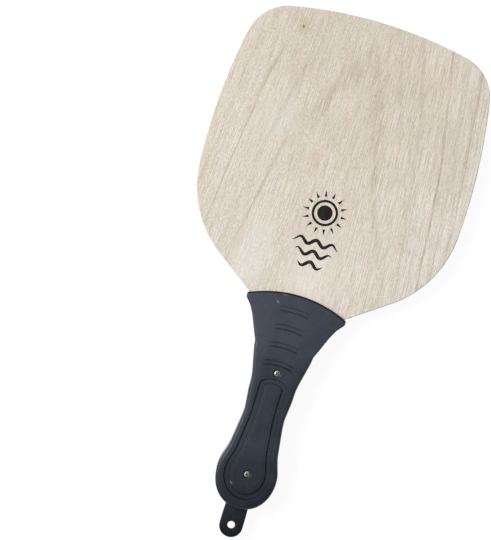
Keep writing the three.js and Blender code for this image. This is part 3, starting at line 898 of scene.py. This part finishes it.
def cover_edge():
    """The cover's outline, smooth like a moulding but with a tighter round at the corners of its mouth."""
    right = []
    for turn in np.linspace(0, math.pi / 2, round_points)[:-1]:
        right.append(complex(grip_stations[0][1] * math.sin(turn) ** butt_fullness,
                             lower_bolt * (1 - math.cos(turn) ** butt_fullness)))
    right += [complex(half, y) for y, half in grip_stations]
    right += [complex(x, mouth_edge(x)) for x in np.linspace(head_half_width, 0, mouth_points)[1:]]
    loop = closed_path(right)
    from_corner = abs(abs(loop.real) + 1j * loop.imag - complex(head_half_width, head_corner))
    far = np.clip(from_corner / edge_window - 1, 0, 1)
    return softened(loop, edge_window) * far + softened(loop, corner_window) * (1 - far)


def channel_path():
    """Centre line of the channel round the pad, from the bulb over the neck to its arched top."""
    bulb_half, bulb_length = channel_bulb
    right = [complex(bulb_half * math.sin(turn), lower_bolt - bulb_length * math.cos(turn))
             for turn in np.linspace(0, math.pi / 2, round_points)]
    for along, narrowed in narrowing_shares:
        right.append(complex(bulb_half + (channel_neck_half - bulb_half) * narrowed,
                             lower_bolt + (neck - lower_bolt) * along))
    for x in np.linspace(1, 0, channel_top_points):
        right.append(complex(channel_neck_half * x, channel_top + channel_top_rise * (1 - x * x)))
    return softened(closed_path(right), edge_window)


def rib_paths():
    """Centre lines of the two grooves beside each rib."""
    across = np.linspace(-1, 1, rib_points) * rib_half_length
    for rib, rise in enumerate(np.linspace(*rib_rises, rib_count)):
        for side in (-rib_width / 2, rib_width / 2):
            yield across + 1j * (rib_first + rib_spacing * rib + side - rise * (across / rib_bow_half) ** 2)


def towards_head(places, sizes):
    """A size that passes smoothly from its value round the pad to its value on the head."""
    low, high = channel_top + channel_top_rise, head_corner + head_rise
    share = np.clip((places.imag - low) / (high - low), 0, 1)
    return sizes[0] + (sizes[1] - sizes[0]) * (share * share * (3 - 2 * share))


def normals_of(path, closed):
    """Directions square to a path, to its left."""
    along = np.roll(path, -1) - np.roll(path, 1) if closed else np.gradient(path)
    return 1j * along / abs(along)


def nearest(path, places):
    """Index of each place's nearest point of a path, and its distance."""
    tree = KDTree(len(path))
    for i, point in enumerate(path):
        tree.insert((point.real, point.imag, 0), i)
    tree.balance()
    found = [tree.find((place.real, place.imag, 0)) for place in places]
    return np.array([index for _, index, _ in found]), np.array([distance for _, _, distance in found])


edge = cover_edge()
edge_inward = normals_of(edge, True)
at_mouth = abs(edge.imag - mouth_edge(edge.real)) < edge_step
edge_rounds = np.where(at_mouth, mouth_edge_radius, towards_head(edge, edge_radii))
edge_rounds = softened(edge_rounds, edge_window).real
channel = channel_path()
ribs = list(rib_paths())
channel_floor = channel_half_width - channel_wall
channel_side = np.linspace(channel_half_width, channel_floor, channel_wall_rows)
channel_rows = [channel_half_width * channel_brink, channel_side, -channel_side,
                channel_floor_rows * channel_floor]
line_rows = [(channel, True, np.concatenate(channel_rows))]
line_rows += [(rib, False, groove_rows * groove_half_width) for rib in ribs]


def cover_places():
    """Points that the cover's surface is built on: edge, rounds, pressed lines and an even lattice."""
    groups = [edge]
    for turn in edge_turns:
        inset = edge_rounds * (1 - math.cos(turn))
        ring = edge + edge_inward * inset
        _, away = nearest(edge, ring)
        groups.append(ring[away > inset * ring_keep])
    rows = np.arange(edge.imag.min(), edge.imag.max(), lattice_step * math.sqrt(0.75))
    columns = np.arange(edge.real.min(), edge.real.max(), lattice_step)
    lattice = np.concatenate([columns + (row % 2) * lattice_step / 2 + 1j * y for row, y in enumerate(rows)])
    index, away = nearest(edge, lattice)
    inside = ((lattice - edge[index]) * edge_inward[index].conjugate()).real > 0
    lattice = lattice[inside & (away > edge_rounds[index] + lattice_step / 2)]
    lines = []
    for path, closed, offsets in line_rows:
        lines += [path + normals_of(path, closed) * offset for offset in offsets]
    lines = np.concatenate(lines)
    _, away = nearest(lines, lattice)
    return np.concatenate(groups + [lines, lattice[away > lattice_step * lattice_gap]])


def cover_heights(places):
    """Height of the smooth blank over the parting plane: level, with a slope and a round towards its edge."""
    index, _ = nearest(edge, places)
    rim = np.maximum(0, ((places - edge[index]) * edge_inward[index].conjugate()).real)
    _, side = nearest(edge[~at_mouth], places)
    slope = 1 - np.minimum(1, side / towards_head(places, slope_widths))
    height = towards_head(places, (grip_height, head_height)) - towards_head(places, slope_drops) * slope ** 2
    rounds = edge_rounds[index]
    return height - rounds + np.sqrt(rounds ** 2 - np.maximum(0, rounds - rim) ** 2)


def cover_blank():
    """The smooth cover as a closed solid with a flat back, and its upper side marked for pressing."""
    given = cover_places()
    count = len(edge)
    ring = [(i, (i + 1) % count) for i in range(count)]
    flat = delaunay_2d_cdt([Vector((p.real, p.imag)) for p in given], ring, [], 1, merge_distance)
    places = np.array([complex(*point) for point in flat[0]])
    body = bmesh.new()
    upper = body.verts.layers.float.new("upper")
    tops = [body.verts.new((p.real, p.imag, parting + h)) for p, h in zip(places, cover_heights(places))]
    for face in flat[2]:
        body.faces.new([tops[i] for i in face])
    by_source = {source: tops[i] for i, sources in enumerate(flat[3]) for source in sources if source < count}
    rings = [[by_source[i] for i in range(count)]]
    for inset, rise in ((0, parting_bevel), (parting_bevel, 0)):
        loop = edge + edge_inward * inset
        rings.append([body.verts.new((p.real, p.imag, parting + rise)) for p in loop])
    rings.reverse()
    wall(body, rings)
    rim = set(rings[-1])
    for top in tops:
        top[upper] = 0.0 if top in rim else 1.0
    bottom = [body.edges.get((rings[0][i - 1], rings[0][i])) for i in range(count)]
    bmesh.ops.triangle_fill(body, edges=bottom, use_beauty=True)
    return finished("cover_blank", body)


def drawn_path(name, paths, closed):
    """A mesh of edges that pressed lines follow."""
    points, edges = [], []
    for path in paths:
        first = len(points)
        points += [(p.real, p.imag + butt, parting + grip_height) for p in path]
        edges += [(i, i + 1) for i in range(first, len(points) - 1)]
        if closed:
            edges.append((len(points) - 1, first))
    mesh = bpy.data.meshes.new(name)
    mesh.from_pydata(points, edges, [])
    return into_scene(name, mesh)


def pressed_line():
    """Geometry Nodes: the upper side sinks beside a path, with soft walls, and the line fades at its ends."""
    tree, given = open_tree("pressed_line", "Geometry", {
        "Moulding": "Geometry", "Path": "Object", "Half Width": "Float", "Wall": "Float", "Depth": "Float",
        "Fade From": "Float", "Fade To": "Float", "Finish": "Material",
    }, {"Moulding": "Geometry"})
    path = result("GeometryNodeObjectInfo", {"Object": given["Path"]}, "Geometry", transform_space="RELATIVE")
    axes = axes_of(result("GeometryNodeInputPosition", tree=tree))
    level = vector_of(axes["X"], axes["Y"], parting + grip_height)
    near = result("GeometryNodeProximity", {0: path, "Sample Position": level}, "Distance",
                  target_element="EDGES")
    floor = maths("SUBTRACT", given["Half Width"], given["Wall"])
    sunk = eased(near, floor, given["Half Width"], 1.0, 0.0)
    kept = eased(maths("ABSOLUTE", axes["X"]), given["Fade From"], given["Fade To"], 1.0, 0.0)
    upper = result("GeometryNodeInputNamedAttribute", {"Name": "upper"}, tree=tree, data_type="FLOAT")
    down = vector_of(z=times(sunk, kept, upper, given["Depth"], -1.0))
    moved = result("GeometryNodeSetPosition", {0: given["Moulding"], "Offset": down})
    return close_tree(tree, moved, given["Finish"])


def cut_out(piece, cutter):
    step = piece.modifiers.new(cutter.name, "BOOLEAN")
    step.operation = "DIFFERENCE"
    step.solver = "MANIFOLD"
    step.object = cutter


def prism(name, loop, low, high):
    """A straight block on an outline."""
    return stacked(name, [loop], [(0, low), (0, high)])


def pocket_outline():
    """Room for the tongue, open towards the blade."""
    right = [complex(neck_half - cover_wall, tongue_end - pocket_clearance)]
    right += [complex(half - cover_wall, y) for y, half in grip_stations if y >= neck]
    right.append(complex(head_half_width - cover_wall, head_corner + 2 * head_rise))
    return both_sides(right) + 1j * butt


def lip_outline():
    """A strip along the mouth, where the cover's lip stands a little off the wood."""
    across = np.linspace(-lip_overhang, lip_overhang, mouth_points) * head_half_width
    low = [complex(x, mouth_edge(x) - lip_depth) for x in across]
    high = [complex(x, mouth_edge(0) + lip_depth) for x in (across[-1], across[0])]
    return np.array(low + high) + 1j * butt


marks = []
for scuffs, height in ((head_scuffs, parting + head_height), (pad_scuffs, parting + grip_height)):
    for start, end, width, strength in scuffs:
        marks.append(((start[0], butt + start[1], height), (end[0], butt + end[1], height), width, strength))
# Painted shadow lies along the mouth's lip and round each screw seat.
grip_finish = rubber_finish("grip_rubber", cover_shades, cover_fades, grit=0.35, roughness=0.55, shine=0.35,
                            lip=(butt + head_corner, head_rise, head_half_width),
                            seats=[(0, spot.imag, 0) for spot in bolt_spots], marks=marks)
blank = cover_blank()
blank.data.transform(Matrix.Translation((0, butt, 0)))
seats = [hole_loop(complex(0, place), head_pocket_radius, sleeve_hole_points)
         for place in (lower_bolt, upper_bolt)]
pressing = pressed_line()
drawings = []
for name, paths, closed, half_width, wall_width, depth in (
        ("channel_shoulders", [channel], True, shoulder_width, shoulder_width, shoulder_depth),
        ("channel_line", [channel], True, channel_half_width, channel_wall, channel_depth),
        ("lower_grooves", ribs[::2], False, groove_half_width, groove_wall, lower_groove_depth),
        ("upper_grooves", ribs[1::2], False, groove_half_width, groove_wall, upper_groove_depth),
        ("seat_rounds", seats, True, seat_round, seat_round, seat_round_depth)):
    fade_from, fade_to = no_fade if closed else (rib_fade_from, rib_half_length)
    drawing = drawn_path(name, paths, closed)
    built_with(blank, pressing, path=drawing, half_width=half_width, wall=wall_width, depth=depth,
               fade_from=fade_from, fade_to=fade_to, finish=grip_finish)
    drawings.append(drawing)
above = parting + grip_height + cover_wall
below = parting - cover_wall
wood_top = parting + wood_half_thickness
cutters = [prism("tongue_pocket", pocket_outline(), below, wood_top),
           prism("mouth_lip", lip_outline(), below, wood_top + lip_gap),
           prism("tab_pocket", tab_outline(pocket_clearance), below, tab_high.z)]
for spot in bolt_spots:
    for name, radius, low in (("sleeve_hole", sleeve_hole_radius, below),
                              ("head_pocket", head_pocket_radius, parting + bolt_seat)):
        cutters.append(prism(name, hole_loop(spot, radius, sleeve_hole_points)[::-1], low, above))
for cutter in cutters:
    cut_out(blank, cutter)
front = plain_mesh("front_cover_moulding", blank, moulded_sharp_angle)
for spent in drawings + cutters:
    bpy.data.objects.remove(spent)
back = into_scene("back_cover_moulding", front.data.copy())
back.data.transform(Matrix.Translation((0, 0, 2 * parting)) @ Matrix.Scale(-1, 4, (0, 0, 1)))
back.data.flip_normals()
for piece, node in ((front, "front_grip_cover"), (back, "back_grip_cover")):
    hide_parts(node)
    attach(piece, "root")

# Sleeve nuts and screws: two pairs of nickel-plated steel draw the covers together through the tongue. Each
# nut is pushed in from behind and has a domed, slotted head; each screw turns into it from the front and has
# a cross recess.
bolt_head_radius = 0.0026
bolt_head_height = 0.0018
bolt_head_edge = 0.0008
bolt_edge_round = 0.0002
bolt_dome_points = 12
screw_radius = 0.00145
sleeve_radius = 0.0021
sleeve_mouth = 0.0005
sleeve_floor = 0.002
screw_tip_gap = 0.001
bore_radius = 0.0016
recess_half_length = 0.0016
recess_half_width = 0.0004
recess_depth = 0.0011
recess_taper = 0.0001
slot_depth = 0.0008
turning_segments = 48
cross_turns = (math.radians(24), math.radians(-37))
plate_shades = [colour(196, 203, 198), colour(160, 167, 163)]
plate_side_shade = colour(120, 118, 112)
recess_shade = colour(30, 29, 28)
recess_shade_reach = (0.0017, 0.0019, 0, 0.0006)
recess_shade_height = (bolt_seat + 0.0013, bolt_seat + 0.00155)
scratch_scale = 2400
wear_scale = 500
scratch_relief = 0.15
scratch_depth = 0.00005
steel_masks = {"level": (0.1, 0.5), "wear": (0.35, 0.7), "roughness": (0.3, 0.7, 0.54, 0.66)}


def turned(name, profile):
    """A closed lathe body. Its profile of radius and height starts and ends on the axis."""
    body = bmesh.new()
    rings = []
    for radius, height in profile:
        spots = [cmath.rect(radius, 2 * math.pi * i / turning_segments) for i in range(turning_segments)]
        if radius == 0:
            rings.append([body.verts.new((0, 0, height))] * turning_segments)
        else:
            rings.append([body.verts.new((spot.real, spot.imag, height)) for spot in spots])
    wall(body, rings)
    return finished(name, body)


def domed_head(seat):
    """From the head's seat to its crown: a short straight edge with a small round, then the dome."""
    shoulder = seat + bolt_head_edge
    dome = bolt_head_height - bolt_head_edge
    profile = [(bolt_head_radius - bolt_edge_round, seat), (bolt_head_radius, seat + bolt_edge_round)]
    for turn in np.linspace(0, math.pi / 2, bolt_dome_points)[:-1]:
        profile.append((bolt_head_radius * math.cos(turn), shoulder + dome * math.sin(turn)))
    return profile + [(0, shoulder + dome)]


def cross_outline():
    """A cross, anticlockwise."""
    long, short = recess_half_length, recess_half_width
    arm = [complex(long, -short), complex(long, short), complex(short, short)]
    return np.array([corner * 1j ** quarter for quarter in range(4) for corner in arm])


def set_at_bolts():
    """Geometry Nodes: one fastener on each of two bolt places, each turned by its own angle."""
    tree, given = open_tree("set_at_bolts", "Geometry", {
        "Fastener": "Object", "First": "Vector", "Spacing": "Vector", "First Turn": "Float",
        "Second Turn": "Float", "Finish": "Material",
    }, {"Fasteners": "Geometry"})
    row = result("GeometryNodeMeshLine", {"Count": 2, "Start Location": given["First"],
                                          "Offset": given["Spacing"]})
    change = maths("SUBTRACT", given["Second Turn"], given["First Turn"])
    added = times(result("GeometryNodeInputIndex", tree=tree), change)
    turn = maths("ADD", added, given["First Turn"])
    return close_tree(tree, copies_on(row, given["Fastener"], turn), given["Finish"])


def steel_finish():
    """Nickel plate with fine scratches and a little wear, a darker painted shade on its steep sides and a
    dark, dull painted shade in the recess.
    """
    material, tree = new_material("plated_steel")
    place = place_node(tree, "ShaderNodeTexCoord").outputs
    facing = maths("ABSOLUTE", axes_of(place["Normal"])["Z"])
    scratch = noise(place["Object"], 3, scale=scratch_scale)
    wear = noise(place["Object"], 2, scale=wear_scale)
    plate = mixed(eased(wear, *steel_masks["wear"]), *plate_shades)
    # Steep sides take a darker plate colour: painted shade.
    plate = mixed(eased(facing, *steel_masks["level"]), plate_side_shade, plate)
    axes = axes_of(place["Object"])
    height = maths("ABSOLUTE", maths("SUBTRACT", axes["Z"], parting))
    flat = vector_of(axes["X"], axes["Y"])
    lower, upper = [vector_maths("DISTANCE", flat, (0, spot.imag, 0)) for spot in bolt_spots]
    # Painted shade: near the axis, the recess and slot below a given height over the seat are dark and not
    # metallic.
    outside = eased(maths("MINIMUM", lower, upper), *recess_shade_reach)
    unshaded = eased(maths("ADD", height, outside), *recess_shade_height)
    principled({
        "Base Color": mixed(unshaded, recess_shade, plate), "Metallic": unshaded,
        "Normal": bumped(scratch, scratch_relief, scratch_depth),
        "Roughness": eased(wear, *steel_masks["roughness"]),
    })
    return material


steel = steel_finish()
screw_tip = sleeve_floor + screw_tip_gap - bolt_seat
screw = turned("screw_blank", [(0, screw_tip), (screw_radius, screw_tip), (screw_radius, bolt_seat)]
               + domed_head(bolt_seat))
head_top = bolt_seat + bolt_head_height
cross_levels = [(recess_taper, head_top - recess_depth), (0, head_top), (0, head_top + recess_depth)]
cross = stacked("cross_recess", [cross_outline()], cross_levels)
cut_out(screw, cross)
screw = plain_mesh("screw_shape", screw)
under_head = [(radius, -height) for radius, height in reversed(domed_head(bolt_seat))]
sleeve_top = bolt_seat - sleeve_mouth
bore_floor = sleeve_floor - bolt_seat
sleeve = [(sleeve_radius, -bolt_seat), (sleeve_radius, sleeve_top), (bore_radius, sleeve_top),
          (bore_radius, bore_floor), (0, bore_floor)]
nut = turned("nut_blank", under_head + sleeve)
half_slot = complex(2 * bolt_head_radius, recess_half_width)
slot_outline = np.array([-half_slot, half_slot.conjugate(), half_slot, -half_slot.conjugate()])
slot_cut = prism("nut_slot", slot_outline, -head_top - slot_depth, slot_depth - head_top)
cut_out(nut, slot_cut)
nut = plain_mesh("nut_shape", nut)
bolt_setting = set_at_bolts()
for name, shape, nodes, (first_turn, second_turn) in (
        ("cover_screws", screw, ("lower_screw", "upper_screw"), cross_turns),
        ("sleeve_nuts", nut, ("lower_sleeve_nut", "upper_sleeve_nut"), cross_turns[::-1])):
    piece = into_scene(name, bpy.data.meshes.new(name))
    built_with(piece, bolt_setting, fastener=shape, first=(0, bolt_spots[0].imag, parting),
               spacing=(0, upper_bolt - lower_bolt, 0), first_turn=first_turn, second_turn=second_turn,
               finish=steel)
    piece = plain_mesh(name, piece)
    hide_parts(*nodes)
    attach(piece, "root")
for spent in (screw, cross, nut, slot_cut):
    bpy.data.objects.remove(spent)
